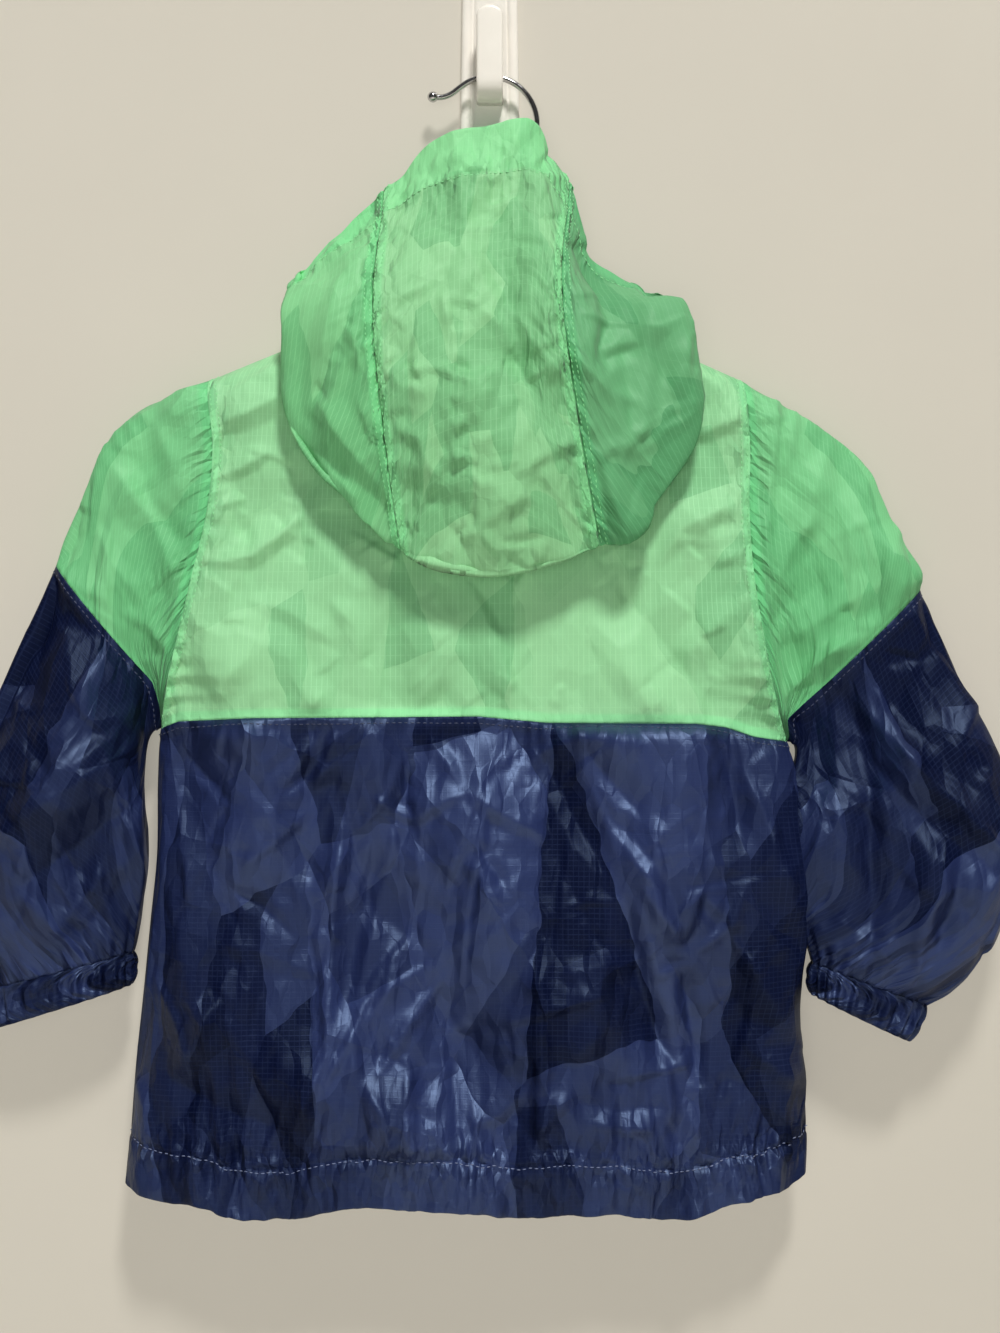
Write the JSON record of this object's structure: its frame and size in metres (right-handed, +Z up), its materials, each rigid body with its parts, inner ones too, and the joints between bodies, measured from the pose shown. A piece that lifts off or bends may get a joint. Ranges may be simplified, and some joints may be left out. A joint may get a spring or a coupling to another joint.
{
  "type": "child's hooded windbreaker on a hanger and a wall hook",
  "caption": "Child's zip-front hooded windbreaker in green and navy ripstop nylon, hanging back outward on a hanger from a white wall hook.",
  "frame": {"origin": "middle of the wall hook's back face, on the wall", "axes": "+Z up, +Y into the wall, +X to the right seen from the room; the jacket's back faces -Y"},
  "size_m": [0.5737, 0.0786, 0.6751],
  "materials": {
    "green_nylon": "thin semi-gloss ripstop nylon",
    "navy_nylon": "thin semi-gloss ripstop nylon",
    "zip_tape": "woven tape with teeth",
    "zip_metal": "polished",
    "hanger_plastic": "smooth",
    "hook_wire": "polished",
    "wall_hook_plastic": "glossy"
  },
  "bodies": {
    "jacket": {"back_lower": "navy_nylon", "back_yoke": "green_nylon", "cuff_left": "navy_nylon", "cuff_right": "navy_nylon", "front_left_lower": "navy_nylon", "front_left_upper": "green_nylon", "front_right_lower": "navy_nylon", "front_right_upper": "green_nylon", "hanger_body": "hanger_plastic", "hanger_hook": "hook_wire", "hood_centre": "green_nylon", "hood_left": "green_nylon", "hood_right": "green_nylon", "sleeve_left_lower": "navy_nylon", "sleeve_left_upper": "green_nylon", "sleeve_right_lower": "navy_nylon", "sleeve_right_upper": "green_nylon", "wall_hook": "wall_hook_plastic", "zip_left": "zip_tape", "zip_right": "zip_tape", "zip_slider": "zip_metal"},
    "pull_tab": {"zip_pull": "zip_metal"}
  },
  "joints": [
    {"name": "pull_tab_hinge", "type": "hinge", "parent": "jacket", "child": "pull_tab", "pos_m": [-0.00051, -0.00537, -0.207], "axis": [1, 0, 0], "range_deg": [0, 150]}
  ]
}
